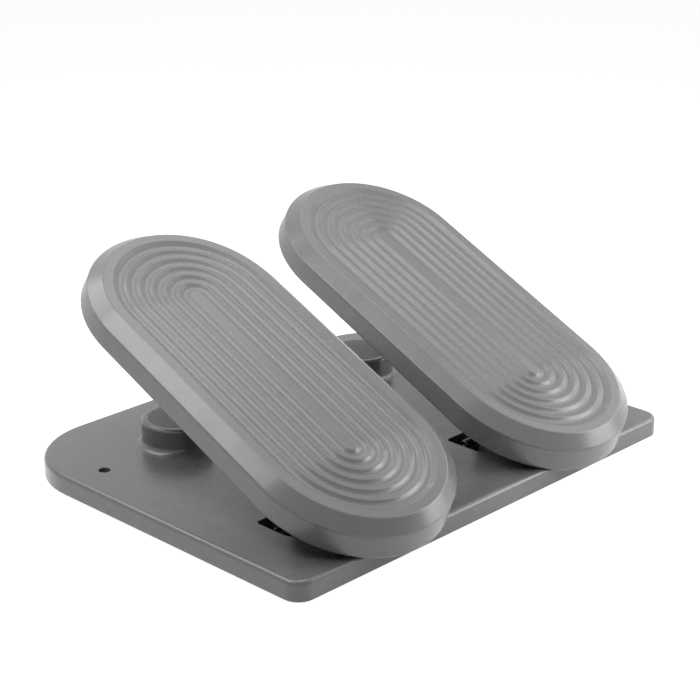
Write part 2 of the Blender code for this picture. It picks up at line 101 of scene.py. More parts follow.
# Hinge. The base's part of a coil ends SPRING_SLACK radians short of the arm at full travel, and the arm's
# own arc starts SPRING_LAP radians before that end
PIN_Y = HINGES["right_pedal"].y - BASE_Y
PIN_Z = HINGES["right_pedal"].z - BASE_Z
PIN_R = 0.0030
PIN_HALF = 0.0404
RING_X = 0.0306
RING_OUTER_R = 0.0048
RING_INNER_R = 0.0027
RING_HALF_T = 0.0005
RING_HALF_MOUTH = math.radians(38)
GROOVE_R = 0.0024
GROOVE_HALF = 0.0008
BEARER_X = 0.0270
BEARER_T = 0.0050
BEARER_R = 0.0063
EAR_X = 0.0188
EAR_T = 0.0060
EAR_EYE_R = 0.0060
BUSH_R = 0.0042
BUSH_BORE_R = 0.00308
BUSH_FLANGE_R = 0.0056
BUSH_FLANGE_T = 0.0010
BUSH_SLACK = 0.0003
WIRE_R = 0.0010
SPRING_R = 0.0049
SPRING_PITCH = 0.0026
SPRING_CURLS = 8
SPRING_LEG = 0.0240
SPRING_SLACK = 0.02
SPRING_LAP = 0.10
WEB_T = 0.0024

# Pedal sizes: places are measured from the middle of the rim plane, and depths are below that plane.
# CREST_ROUND is 0 for a sharp crest between two flutes and grows as the crest gets rounder
PIN_V = -0.0729
PIN_W = -0.0560
STRIP_R = 0.00395
CREST_ROUND = 0.12
FLUTES = 6
RIM_STEP = 0.0004
RIM_STEP_R = 0.0006
RIM_ARC = 0.0750
WIDE_ARC = 0.0738
LOW_ARC = 0.0749
WIDE_DEPTH = 0.0073
SKIRT = 0.0012
LOW_START = WIDE_DEPTH + SKIRT + 0.0002
LOW_DEPTH = 0.0224
HEEL_EXTRA = 0.0026
SEAM_R = 0.0002
SHELL_WALL = 0.0024
PEDAL_SCREWS = tuple((u, v) for v in (-0.104, 0.008, 0.104) for u in (-0.036, 0.036))
PEDAL_HEAD_H = 0.0013

# Fineness of the meshes: steps round an end of the pedal, along its side, across a flute,
# round a boss, round a foot or a bush, round a pin or a screw, and along a half turn
ARC_STEPS = 72
STRAIGHT_STEPS = 20
FLUTE_STEPS = 18
BOSS_STEPS = 128
FOOT_STEPS = 64
PIN_STEPS = 48
HALF_STEPS = 24

# Edges that turn by more degrees than these stay crisp, or get a bevel where one is made
SMOOTH_ANGLE = 32.0
BEVEL_ANGLE = 30.0

# How far a cutting body reaches past a face
PAST = 0.0010

# Blender's noise mostly keeps to this range
NOISE_LOW = 0.3
NOISE_HIGH = 0.7

# Moulded plastic: the ranges of Pointiness, which is 0.5 on a flat face, that mark its outward edges and
# its hollows, how far a painted highlight lightens the edges and painted shade darkens the hollows, and
# how much smoother the edges are
EDGE_HIGHLIGHT_AND_POLISH_RANGE = (0.52, 0.60)
EDGE_HIGHLIGHT_COVER = 0.70
EDGE_PAINTED_HIGHLIGHT = 1.50
EDGE_POLISH = 0.07
HOLLOW_PAINTED_SHADE_RANGE = (0.490, 0.465)
HOLLOW_PAINTED_SHADE_COVER = 0.55
HOLLOW_PAINTED_SHADE = 0.55
# The base's plastic is the pedals' colour darkened, partly for its own darker tone and partly as painted
# shade
BASE_TONE_AND_PAINTED_SHADE = 0.85

# Studio: lamps stand at one distance from the point that they face, and the camera looks at its own point
LAMP_AIM = Vector((0.0, 0.0, 0.05))
LAMP_REACH = 0.65
LAMP_WIDTH = 0.30
CAMERA_AIM = Vector((0.05716, 0.04786 + BASE_Y, 0.04375 + BASE_Z))
CAMERA_AZIMUTH = math.radians(-45.85)
CAMERA_ELEVATION = math.radians(20.78)
CAMERA_REACH = 1.33083
SENSOR_WIDTH = 36.0
FLOOR_HALF = 6.0
FLOOR_DARK = (0.79, 0.79, 0.79)
FLOOR_LIGHT = (0.81, 0.81, 0.81)
FLOOR_WHITE = 0.95


# Settings that a user would change

class FootrestSizes(PropertyGroup):
    """Sizes of the base plate and of the pedals' foot surface."""

    base_width: FloatProperty(
        name="Base Width", description="Width of the base plate", default=0.3500, unit="LENGTH")
    base_depth: FloatProperty(
        name="Base Depth", description="Depth of the base plate, heel edge to back edge",
        default=0.2738, unit="LENGTH")
    base_height: FloatProperty(
        name="Base Height", description="Thickness of the base plate", default=0.0132, unit="LENGTH")
    base_edge: FloatProperty(
        name="Base Edge", description="Radius of the base's upper edge", default=0.0032, unit="LENGTH")
    back_corner: FloatProperty(
        name="Back Corner", description="Radius of the two back corners", default=0.0590, unit="LENGTH")
    front_corner: FloatProperty(
        name="Front Corner", description="Radius of the two front corners", default=0.0118, unit="LENGTH")
    boss_radius: FloatProperty(
        name="Stop Boss", description="Radius of a round stop boss", default=0.0238, unit="LENGTH")
    boss_top: FloatProperty(
        name="Boss Height", description="Height of a stop boss", default=0.0308, unit="LENGTH")
    boss_round: FloatProperty(
        name="Boss Shoulder", description="Radius of a boss's shoulder", default=0.0032, unit="LENGTH")
    boss_fillet: FloatProperty(
        name="Boss Foot", description="Radius at a boss's foot", default=0.0044, unit="LENGTH")
    hole_radius: FloatProperty(
        name="Corner Hole", description="Radius of the two corner holes", default=0.0038, unit="LENGTH")
    tilt: FloatProperty(
        name="Pedal Tilt", description="Slope of a pedal at rest", default=math.radians(24.55),
        subtype="ANGLE")
    flute_pitch: FloatProperty(
        name="Flute Pitch", description="Distance from one flute to the next", default=0.00842,
        unit="LENGTH")
    flute_depth: FloatProperty(
        name="Flute Depth", description="Depth of a flute from crest to bottom", default=0.00165,
        unit="LENGTH")
    field_drop: FloatProperty(
        name="Field Drop", description="Drop from the rim to the crests of the flutes", default=0.00050,
        unit="LENGTH")
    rim_radius: FloatProperty(
        name="Rim", description="Half width of the flat foot surface", default=0.0613, unit="LENGTH")
    rim_edge: FloatProperty(
        name="Rim Edge", description="Radius of the edge round the foot surface", default=0.0022,
        unit="LENGTH")
    wide_radius: FloatProperty(
        name="Pedal Half Width", description="Half width below the bevelled edge", default=0.0708,
        unit="LENGTH")
    low_radius: FloatProperty(
        name="Tray Half Width", description="Half width of the pedal at its floor", default=0.0712,
        unit="LENGTH")
    low_edge: FloatProperty(
        name="Tray Edge", description="Radius of the pedal's lower edge", default=0.0022, unit="LENGTH")


def colour_setting(label, words, slot):
    return FloatVectorProperty(
        name=label, description=words, default=COLOURS[slot], subtype="COLOR", size=3, min=0.0, max=1.0)


class FootrestColours(PropertyGroup):
    """Colours of the finishes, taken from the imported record."""

    plastic: colour_setting("Plastic", "Colour of the base shell and the pedals", "grey_plastic")
    cover: colour_setting("Cover", "Colour of the plate under the base", "dark_plastic")
    rubber: colour_setting("Feet", "Colour of the rubber feet", "black_rubber")
    pad: colour_setting("Stop Pads", "Colour of the discs on the stop bosses", "grey_rubber")
    steel: colour_setting("Pins", "Colour of the hinge pins", "steel")
    wire: colour_setting("Springs", "Colour of the spring wire", "spring_steel")
    zinc: colour_setting("Screws", "Colour of the screws and retaining rings", "zinc_steel")
    bronze: colour_setting("Bushes", "Colour of the hinge bushes", "bronze")


class FootrestStudio(PropertyGroup):
    """Camera and light of the picture."""

    lens: FloatProperty(name="Lens", description="Focal length in millimetres", default=97.18)
    front_power: FloatProperty(
        name="Front Light", description="Power of the low light at the front right", default=1.34,
        unit="POWER")
    front_high_power: FloatProperty(
        name="High Front Light", description="Power of the raised light at the front right", default=0.55,
        unit="POWER")
    right_power: FloatProperty(
        name="Right Light", description="Power of the low light on the right", default=0.34, unit="POWER")
    right_high_power: FloatProperty(
        name="High Right Light", description="Power of each raised light on the right", default=0.26,
        unit="POWER")
    top_power: FloatProperty(
        name="Top Light", description="Power of the light straight above", default=0.55, unit="POWER")
    back_left_power: FloatProperty(
        name="Back Left Light", description="Power of the light at the back left", default=0.90,
        unit="POWER")
    back_right_power: FloatProperty(
        name="Back Right Light", description="Power of each light at the back right", default=0.22,
        unit="POWER")
    left_power: FloatProperty(
        name="Left Light", description="Power of the light on the left", default=1.40, unit="POWER")
    ambient: FloatProperty(
        name="Room Light", description="Strength of the even light from all round", default=0.02)


def sizes():
    return bpy.context.scene.footrest_sizes


def colours():
    return bpy.context.scene.footrest_colours


# Finishes

class Finish:
    """Node tree of one finish, with the few steps that the finishes share."""

    def __init__(self, name, roughness, metallic=0.0, specular=0.5):
        self.material = bpy.data.materials.new(name)
        self.material.use_nodes = True
        tree = self.material.node_tree
        self.nodes = tree.nodes
        self.links = tree.links
        self.shader = self.nodes["Principled BSDF"]
        self.shader.inputs["Roughness"].default_value = roughness
        self.shader.inputs["Metallic"].default_value = metallic
        self.shader.inputs["Specular IOR Level"].default_value = specular
        self.place = self.nodes.new("ShaderNodeTexCoord").outputs["Object"]

    def noise(self, scale, detail=2.0, stretch=(1.0, 1.0, 1.0)):
        """Fractal noise with that many features in a metre, stretched along an axis if asked."""
        mapping = self.nodes.new("ShaderNodeMapping")
        mapping.inputs["Scale"].default_value = stretch
        node = self.nodes.new("ShaderNodeTexNoise")
        node.inputs["Scale"].default_value = scale
        node.inputs["Detail"].default_value = detail
        self.links.new(self.place, mapping.inputs["Vector"])
        self.links.new(mapping.outputs["Vector"], node.inputs["Vector"])
        return node.outputs["Fac"]

    def cells(self, scale):
        node = self.nodes.new("ShaderNodeTexVoronoi")
        node.inputs["Scale"].default_value = scale
        self.links.new(self.place, node.inputs["Vector"])
        return node.outputs["Distance"]

    def pointed(self, start, end):
        """Runs from 0 where the surface's Pointiness is start to 1 where it is end."""
        point = self.nodes.new("ShaderNodeNewGeometry").outputs["Pointiness"]
        return self.spread(point, start, end, 0.0, 1.0)

    def wander(self, noise, low, high):
        """Follows the noise from low to high."""
        return self.spread(noise, NOISE_LOW, NOISE_HIGH, low, high)

    def scaled(self, factor, most):
        """A factor from 0 to 1, brought to run from 0 to most."""
        return self.spread(factor, 0.0, 1.0, 0.0, most)

    def spread(self, value, from_low, from_high, low, high):
        node = self.nodes.new("ShaderNodeMapRange")
        limits = {"From Min": from_low, "From Max": from_high, "To Min": low, "To Max": high}
        for label, number in limits.items():
            node.inputs[label].default_value = number
        self.links.new(value, node.inputs["Value"])
        return node.outputs["Result"]

    def add(self, first, second, operation="ADD"):
        node = self.nodes.new("ShaderNodeMath")
        node.operation = operation
        self.links.new(first, node.inputs[0])
        self.links.new(second, node.inputs[1])
        return node.outputs["Value"]

    def tint(self, factor, dark, light):
        """Colour that runs from dark to light with the factor."""
        node = self.nodes.new("ShaderNodeMix")
        node.data_type = "RGBA"
        self.links.new(factor, node.inputs["Factor"])
        node.inputs["A"].default_value = (*dark, 1.0)
        node.inputs["B"].default_value = (*light, 1.0)
        return node.outputs["Result"]

    def cover_with(self, under, factor, colour):
        """The colour laid over another one where the factor says."""
        node = self.nodes.new("ShaderNodeMix")
        node.data_type = "RGBA"
        self.links.new(factor, node.inputs["Factor"])
        self.links.new(under, node.inputs["A"])
        node.inputs["B"].default_value = (*colour, 1.0)
        return node.outputs["Result"]

    def paint(self, colour):
        self.links.new(colour, self.shader.inputs["Base Color"])

    def roughen(self, value):
        self.links.new(value, self.shader.inputs["Roughness"])

    def relief(self, height, distance, strength=1.0):
        """Bump from a height; a second call adds finer relief to the first."""
        node = self.nodes.new("ShaderNodeBump")
        node.inputs["Distance"].default_value = distance
        node.inputs["Strength"].default_value = strength
        self.links.new(height, node.inputs["Height"])
        before = self.shader.inputs["Normal"]
        if before.is_linked:
            self.links.new(before.links[0].from_socket, node.inputs["Normal"])
        self.links.new(node.outputs["Normal"], self.shader.inputs["Normal"])


def shade(colour, factor):
    return tuple(min(1.0, part * factor) for part in colour)


def moulded_plastic(name, colour, roughness, specular, grain):
    """Satin moulded plastic: spark-eroded grain, faint flow clouds, polished edges that carry a painted
    highlight, and painted shade in the hollows.
    """
    finish = Finish(name, roughness, specular=specular)
    cloud = finish.noise(16.0, 3.0)
    speck = finish.noise(1500.0, 2.0)
    tone = finish.add(finish.wander(cloud, 0.0, 0.6), finish.wander(speck, 0.0, 0.4))
    body = finish.tint(tone, shade(colour, 0.955), shade(colour, 1.045))
    # Pointiness masks: a painted highlight on the outward edges, which are also a little smoother, and
    # painted shade in the hollows
    edge = finish.pointed(*EDGE_HIGHLIGHT_AND_POLISH_RANGE)
    hollow = finish.pointed(*HOLLOW_PAINTED_SHADE_RANGE)
    # Painted shade darkens the hollows, then a painted highlight lightens the outward edges
    body = finish.cover_with(body, finish.scaled(hollow, HOLLOW_PAINTED_SHADE_COVER), shade(colour, HOLLOW_PAINTED_SHADE))
    finish.paint(finish.cover_with(body, finish.scaled(edge, EDGE_HIGHLIGHT_COVER), shade(colour, EDGE_PAINTED_HIGHLIGHT)))
    rough = finish.wander(finish.noise(90.0, 4.0), roughness - 0.035, roughness + 0.035)
    finish.roughen(finish.add(rough, finish.scaled(edge, EDGE_POLISH), "SUBTRACT"))
    finish.relief(finish.noise(2600.0, 2.0), grain)
    finish.relief(finish.noise(420.0, 2.0), grain * 1.2, 0.5)
    return finish.material


def black_rubber(colour):
    finish = Finish("moulded black rubber", 0.8, specular=0.35)
    tone = finish.noise(700.0, 4.0)
    finish.paint(finish.tint(tone, shade(colour, 0.75), shade(colour, 1.35)))
    finish.roughen(finish.wander(finish.noise(200.0), 0.70, 0.90))
    finish.relief(finish.noise(1900.0, 3.0), 0.00006)
    return finish.material


def pad_rubber(colour):
    finish = Finish("stop pad rubber", 0.6, specular=0.3)
    tone = finish.noise(260.0, 4.0)
    finish.paint(finish.tint(tone, shade(colour, 0.93), shade(colour, 1.07)))
    finish.roughen(finish.wander(finish.noise(120.0), 0.54, 0.66))
    finish.relief(finish.noise(2200.0, 3.0), 0.00003)
    return finish.material


def turned_steel(colour):
    """Ground pin steel: fine rings round the pin's length."""
    finish = Finish("ground pin steel", 0.28, metallic=1.0)
    rings = finish.noise(1.0, 3.0, (5200.0, 30.0, 30.0))
    finish.paint(finish.tint(rings, shade(colour, 0.80), shade(colour, 1.15)))
    finish.roughen(finish.wander(finish.noise(160.0, 3.0), 0.30, 0.48))
    finish.relief(rings, 0.000012)
    return finish.material


def drawn_wire(colour):
    finish = Finish("drawn spring wire", 0.36, metallic=1.0)
    tone = finish.noise(420.0, 4.0)
    finish.paint(finish.tint(tone, shade(colour, 0.70), shade(colour, 1.10)))
    finish.roughen(finish.wander(finish.noise(900.0), 0.28, 0.46))
    finish.relief(finish.noise(2400.0, 2.0), 0.000010)
    return finish.material


def zinc_plate(colour):
    """Bright zinc with the soft patches of its plating."""
    finish = Finish("zinc-plated steel", 0.38, metallic=1.0)
    patches = finish.cells(420.0)
    finish.paint(finish.tint(patches, shade(colour, 0.86), shade(colour, 1.18)))
    finish.roughen(finish.wander(finish.noise(700.0, 3.0), 0.30, 0.48))
    finish.relief(finish.noise(1800.0, 2.0), 0.000010)
    return finish.material


def sintered_bronze(colour):
    finish = Finish("sintered bronze", 0.5, metallic=1.0)
    pores = finish.cells(2600.0)
    finish.paint(finish.tint(pores, shade(colour, 0.55), shade(colour, 1.15)))
    finish.roughen(finish.wander(finish.noise(500.0), 0.40, 0.62))
    finish.relief(pores, 0.00003)
    return finish.material


FINISHES = {
    "plastic": lambda: moulded_plastic("satin grey plastic", colours().plastic, 0.27, 0.70, 0.000008),
    # The base: the pedals' plastic darkened, partly its own tone and partly painted shade
    "base": lambda: moulded_plastic(
        "satin grey base plastic with painted shade", shade(colours().plastic, BASE_TONE_AND_PAINTED_SHADE), 0.27, 0.70, 0.000008),
    "tray": lambda: moulded_plastic("satin grey tray plastic", colours().plastic, 0.29, 0.70, 0.000009),
    "cover": lambda: moulded_plastic("dark cover plastic", colours().cover, 0.55, 0.30, 0.000040),
    "rubber": lambda: black_rubber(colours().rubber),
    "pad": lambda: pad_rubber(colours().pad),
    "steel": lambda: turned_steel(colours().steel),
    "wire": lambda: drawn_wire(colours().wire),
    "zinc": lambda: zinc_plate(colours().zinc),
    "bronze": lambda: sintered_bronze(colours().bronze),
}
made_finishes = {}


def finish_of(kind):
    if kind not in made_finishes:
        made_finishes[kind] = FINISHES[kind]()
    return made_finishes[kind]


# Profiles and outlines

def rounded_path(corners, steps):
    """Points of a line through corners (x, y, radius), with each inner corner rounded by its radius."""
    points = [Vector(corners[0][:2])]
    for before, here, after in zip(corners, corners[1:], corners[2:]):
        corner = Vector(here[:2])
        back = Vector(before[:2]) - corner
        ahead = Vector(after[:2]) - corner
        half = back.angle(ahead) / 2
        if here[2] <= 0 or half > math.pi / 2 - 1e-4:
            points.append(corner)
            continue
        reach = min(here[2] / math.tan(half), 0.49 * back.length, 0.49 * ahead.length)
        centre = corner + (back.normalized() + ahead.normalized()).normalized() * (reach / math.cos(half))
        start = corner + back.normalized() * reach - centre
        end = corner + ahead.normalized() * reach - centre
        turn = math.atan2(start.x * end.y - start.y * end.x, start.dot(end))
        for i in range(steps + 1):
            angle = turn * i / steps
            c = math.cos(angle)
            s = math.sin(angle)
            points.append(centre + Vector((start.x * c - start.y * s, start.x * s + start.y * c)))
    points.append(Vector(corners[-1][:2]))
    return [(p.x, p.y) for p in points]


def circle(radius, z, steps, centre):
    ring = []
    for i in range(steps):
        angle = 2 * math.pi * i / steps
        ring.append((centre[0] + radius * math.cos(angle), centre[1] + radius * math.sin(angle), z))
    return ring


def turned_rings(profile, steps, centre=(0.0, 0.0)):
    """Rings of a turned body, one for each (radius, height) of its profile."""
    return [circle(radius, z, steps, centre) for radius, z in profile]


def bar_rings(low, high, radius, centre, steps=32):
    """A plain round bar that stands between two heights."""
    return turned_rings([(radius, low), (radius, high)], steps, centre)


def along_x(rings, start=0.0):
    """Lays turned rings down, with their axis along +X and their zero height at start."""
    return [[(start + h, a, b) for a, b, h in ring] for ring in rings]


def rounded_outline(x0, x1, y0, y1, front_r, back_r, steps=24):
    """A rectangle with rounded corners, whose front and back corners have radii of their own."""
    points = []
    corners = (
        (x1 - back_r, y1 - back_r, back_r, 0),
        (x0 + back_r, y1 - back_r, back_r, 90),
        (x0 + front_r, y0 + front_r, front_r, 180),
        (x1 - front_r, y0 + front_r, front_r, 270),
    )
    for cx, cy, radius, start in corners:
        for i in range(steps + 1):
            angle = math.radians(start + 90 * i / steps)
            points.append((cx + radius * math.cos(angle), cy + radius * math.sin(angle)))
    return points


def prism_x(outline, x0, x1):
    """An outline of (y, z) points, drawn out along X."""
    return [[(x0, y, z) for y, z in outline], [(x1, y, z) for y, z in outline]]


# Meshes

def add_rings(bm, rings, caps=("flat", "flat"), closed=False):
    """Joins rings of equal length; caps are flat, strips or None, and closed joins the last to the first."""
    rows = [[bm.verts.new(point) for point in ring] for ring in rings]
    pairs = list(zip(rows, rows[1:]))
    if closed:
        pairs.append((rows[-1], rows[0]))
    count = len(rows[0])
    for low, high in pairs:
        for i in range(count):
            j = (i + 1) % count
            bm.faces.new((low[i], low[j], high[j], high[i]))
    if closed:
        return
    for row, cap in ((rows[0], caps[0]), (rows[-1], caps[1])):
        if cap == "flat":
            bm.faces.new(row)
        elif cap == "strips":
            add_strips(bm, row)


def add_strips(bm, row):
    """Closes a stadium ring with strips from side to side, so that the face can bend along its length."""
    half = len(row) // 2
    # Starts at the toe's end: point i on one side faces point -i on the other
    start = ARC_STEPS // 2
    ring = row[start:] + row[:start]
    for i in range(half):
        corners = [ring[i], ring[i + 1], ring[-i - 1], ring[-i] if i else ring[0]]
        bm.faces.new(list(dict.fromkeys(corners)))


def piece(name, bm, kind, angle=SMOOTH_ANGLE):
    """A smooth-shaded object with its finish; edges sharper than the angle stay crisp."""
    bmesh.ops.recalc_face_normals(bm, faces=bm.faces)
    mesh = bpy.data.meshes.new(name)
    bm.to_mesh(mesh)
    bm.free()
    obj = bpy.data.objects.new(name, mesh)
    bpy.context.scene.collection.objects.link(obj)
    if kind:
        mesh.materials.append(finish_of(kind))
        smooth(obj, angle)
    return obj


def smooth(obj, angle=SMOOTH_ANGLE):
    obj.data.shade_smooth()
    obj.data.set_sharp_from_angle(angle=math.radians(angle))


def lofted(name, rings, kind, caps=("flat", "flat"), closed=False, angle=SMOOTH_ANGLE):
    bm = bmesh.new()
    add_rings(bm, rings, caps, closed)
    return piece(name, bm, kind, angle)


def tool(name, list_of_rings):
    """Several separate bodies in one object that cuts or joins."""
    bm = bmesh.new()
    for rings in list_of_rings:
        add_rings(bm, rings)
    return piece(name, bm, None)


def combine(target, other, operation):
    """Joins or cuts with the tool, then removes it."""
    other.location = target.location
    other.rotation_euler = target.rotation_euler
    modifier = target.modifiers.new("shape", "BOOLEAN")
    modifier.object = other
    modifier.operation = operation
    modifier.solver = "EXACT"
    settle(target)
    bpy.data.objects.remove(other)


def settle(obj):
    """Turns an object's modifiers into its mesh."""
    bpy.context.view_layer.update()
    graph = bpy.context.evaluated_depsgraph_get()
    mesh = bpy.data.meshes.new_from_object(obj.evaluated_get(graph))
    obj.modifiers.clear()
    obj.data = mesh


def bevel(obj, width, segments=3):
    modifier = obj.modifiers.new("edge", "BEVEL")
    modifier.width = width
    modifier.segments = segments
    modifier.limit_method = "ANGLE"
    modifier.angle_limit = math.radians(BEVEL_ANGLE)
    settle(obj)


def even_normals(obj):
    """Keeps broad faces flat beside their rounded edges."""
    modifier = obj.modifiers.new("even normals", "WEIGHTED_NORMAL")
    modifier.keep_sharp = True


def fit_in(obj, body, node):
    """Lets a finished piece ride on its body and stand for its CAD node."""
    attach(obj, body)
    if node:
        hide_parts(node)


def set_on_base(obj):
    obj.location = (0.0, BASE_Y, BASE_Z)


def hinge_place(side, along=0.0):
    """A point on the axis of that side's hinge, from the middle of its pin."""
    return Vector((side * PEDAL_X + along, PIN_Y + BASE_Y, PIN_Z + BASE_Z))


def set_on_pedal(obj, side):
    obj.location = hinge_place(side)
    obj.rotation_euler = (sizes().tilt, 0.0, 0.0)


# Base

def base_ring(inset, z):
    s = sizes()
    outline = rounded_outline(
        -s.base_width / 2 + inset, s.base_width / 2 - inset,
        -s.base_depth / 2 + inset, s.base_depth / 2 - inset,
        s.front_corner - inset, s.back_corner - inset)
    return [(x, y, z) for x, y in outline]


def foot_places():
    names = ("front_left", "front_right", "middle_left", "middle_right", "back_left", "back_right")
    places = [(x, y) for y in FOOT_ROWS for x in (-FOOT_X, FOOT_X)]
    return dict(zip(names, places))


def pocket_ring(side, grow, z):
    """Outline of a hinge pocket, grown outward all round, at a height."""
    middle = side * PEDAL_X
    outline = rounded_outline(
        middle - POCKET_HALF - grow, middle + POCKET_HALF + grow,
        POCKET_FRONT - grow, POCKET_BACK + grow,
        POCKET_FRONT_R + grow, POCKET_BACK_R + grow, 12)
    return [(x, y, z) for x, y in outline]


def flare(face, radius, steps=5):
    """Growth and height of an edge that rounds outward as it reaches a face."""
    rows = []
    for i in range(steps + 1):
        angle = math.radians(90 * i / steps)
        rows.append((radius * (1 - math.cos(angle)), face - radius * (1 - math.sin(angle))))
    return rows


def boss_profile():
    """Section of a stop boss, from its foot on the base to the bed of its disc."""
    s = sizes()
    h = s.base_height
    # (radius, height, corner radius); the foot lies just under the base's top, so that the two join
    corners = [
        (s.boss_radius + 2 * s.boss_fillet, h - 0.00002, 0),
        (s.boss_radius, h - 0.00002, s.boss_fillet),
        (s.boss_radius, s.boss_top, s.boss_round),
        (PAD_R + 0.0001, s.boss_top, 0.0001),
        (PAD_R + 0.0001, PAD_BED - GAP, 0),
    ]
    return rounded_path(corners, 12)


def bearer_outline():
    """Side view of a pin bearer: a wall across the pocket with a round hump over the pin."""
    low = COVER_TOP + GAP
    top = sizes().base_height - 0.0004
    front = POCKET_FRONT - 0.0012
    back = POCKET_BACK + 0.0012
    start = math.asin((top - PIN_Z) / BEARER_R)
    points = [(front, low), (back, low), (back, top)]
    for i in range(HALF_STEPS + 1):
        angle = start + (math.pi - 2 * start) * i / HALF_STEPS
        points.append((PIN_Y + BEARER_R * math.cos(angle), PIN_Z + BEARER_R * math.sin(angle)))
    points.append((front, top))
    return points


def notch_outline():
    """Side view of the slot that lets a pin into its bearer from below."""
    radius = PIN_R + GAP
    points = [(PIN_Y - radius, -PAST), (PIN_Y + radius, -PAST)]
    for i in range(HALF_STEPS + 1):
        angle = math.pi * i / HALF_STEPS
        points.append((PIN_Y + radius * math.cos(angle), PIN_Z + radius * math.sin(angle)))
    return points


def bearer_spans():
    """Where each of the four bearers starts and ends along X."""
    spans = []
    for side in (-1, 1):
        for end in (-1, 1):
            middle = side * PEDAL_X + end * BEARER_X
            spans.append((middle - BEARER_T / 2, middle + BEARER_T / 2))
    return spans


class FOOTREST_OT_base_shell(Operator):
    """Base plate with its stop bosses, hinge pockets, pin bearers and corner holes."""

    bl_idname = "footrest.base_shell"
    bl_label = "Base Shell"

    def execute(self, context):
        s = sizes()
        h = s.base_height
        # (inset from the outline, height, corner radius), from the top face over the wall to the inside
        section = [
            (0.0085, h, 0), (0.0, h, s.base_edge), (0.0, 0.0, 0.0007), (WALL, 0.0, 0.0004),
            (WALL, h - ROOF, 0.0012), (0.0080, h - ROOF, 0),
        ]
        rings = [base_ring(inset, z) for inset, z in rounded_path(section, 10)]
        shell = lofted("base_moulding", rings, "base")
        set_on_base(shell)

        low = COVER_TOP + GAP
        roof = h - 0.0010
        inside = [[pocket_ring(side, 0.0024, low), pocket_ring(side, 0.0024, roof)] for side in (-1, 1)]
        inside += [bar_rings(low, roof, 0.0062, place) for place in CORNER_HOLES]
        inside += [bar_rings(low, roof, 0.0040, place) for place in COVER_SCREWS]
        combine(shell, tool("pocket walls and screw posts", inside), "UNION")

        profile = boss_profile()
        bosses = [turned_rings(profile, BOSS_STEPS, (side * PEDAL_X, BOSS_Y)) for side in (-1, 1)]
        combine(shell, tool("bosses", bosses), "UNION")

        cuts = []
        for side in (-1, 1):
            place = (side * PEDAL_X, BOSS_Y)
            bore = s.boss_radius - BOSS_WALL
            cuts.append(bar_rings(-PAST, s.boss_top - BOSS_ROOF, bore, place, FOOT_STEPS))
        for side in (-1, 1):
            rows = [(0.0, -PAST)] + flare(h, 0.0005) + [(0.0005, h + 2 * PAST)]
            cuts.append([pocket_ring(side, grow, z) for grow, z in rows])
        for place in CORNER_HOLES:
            rows = [(0.0, -PAST)] + flare(h, 0.0004) + [(0.0004, h + 2 * PAST)]
            cuts.append([circle(s.hole_radius + grow, z, PIN_STEPS, place) for grow, z in rows])
        cuts += [bar_rings(-PAST, h - 0.0022, 0.0018, place, 24) for place in COVER_SCREWS]
        combine(shell, tool("pockets and holes", cuts), "DIFFERENCE")

        spans = bearer_spans()
        bearers = tool("bearers", [prism_x(bearer_outline(), x0, x1) for x0, x1 in spans])
        bevel(bearers, 0.0005)
        combine(shell, bearers, "UNION")
        notches = [prism_x(notch_outline(), x0 - 0.001, x1 + 0.001) for x0, x1 in spans]
        combine(shell, tool("notches", notches), "DIFFERENCE")
        smooth(shell)
        even_normals(shell)
        fit_in(shell, "base", "base_top_shell")
        return {"FINISHED"}


class FOOTREST_OT_base_cover(Operator):
    """Plate that closes the base from below, with saddles under the pins and sunk screw seats."""

    bl_idname = "footrest.base_cover"
    bl_label = "Base Cover"

    def execute(self, context):
        inset = WALL + GAP
        # (inset from the base's outline, height, corner radius), from the lower face to the upper
        section = [
            (inset + 0.008, COVER_LOW, 0), (inset, COVER_LOW, 0.0004),
            (inset, COVER_TOP, 0.0004), (inset + 0.008, COVER_TOP, 0),
        ]
        cover = lofted("base_cover_plate", [base_ring(i, z) for i, z in rounded_path(section, 3)], "cover")
        set_on_base(cover)
        # Each saddle ends just under the pin, inside its bearer's slot
        top = PIN_Z - PIN_R - GAP
        saddles = []
        for x0, x1 in bearer_spans():
            corners = [(PIN_Y - 0.0027, COVER_TOP - 0.0010), (PIN_Y + 0.0027, COVER_TOP - 0.0010)]
            corners += [(PIN_Y + 0.0027, top), (PIN_Y - 0.0027, top)]
            saddles.append(prism_x(corners, x0, x1))
        saddle_tool = tool("saddles", saddles)
        bevel(saddle_tool, 0.0004)
        combine(cover, saddle_tool, "UNION")
        # (radius, height) of each seat, from below the plate upward
        holes = []
        for place in foot_places().values():
            rows = [(0.0098, -PAST), (0.0098, COVER_LOW), (0.0093, COVER_LOW + 0.0004), (0.0093, 0.0011)]
            holes.append(turned_rings(rows, FOOT_STEPS, place))
        for place in COVER_SCREWS:
            rows = [
                (0.0039, -PAST), (0.0039, COVER_LOW), (0.0035, COVER_LOW + 0.0004), (0.0035, 0.0013),
                (0.0020, 0.0013), (0.0020, 0.0040),
            ]
            holes.append(turned_rings(rows, 40, place))
        holes += [bar_rings(-PAST, 0.0040, 0.0044, place, PIN_STEPS) for place in CORNER_HOLES]
        combine(cover, tool("cover holes", holes), "DIFFERENCE")
        smooth(cover)
        even_normals(cover)
        fit_in(cover, "base", "base_bottom_cover")
        return {"FINISHED"}


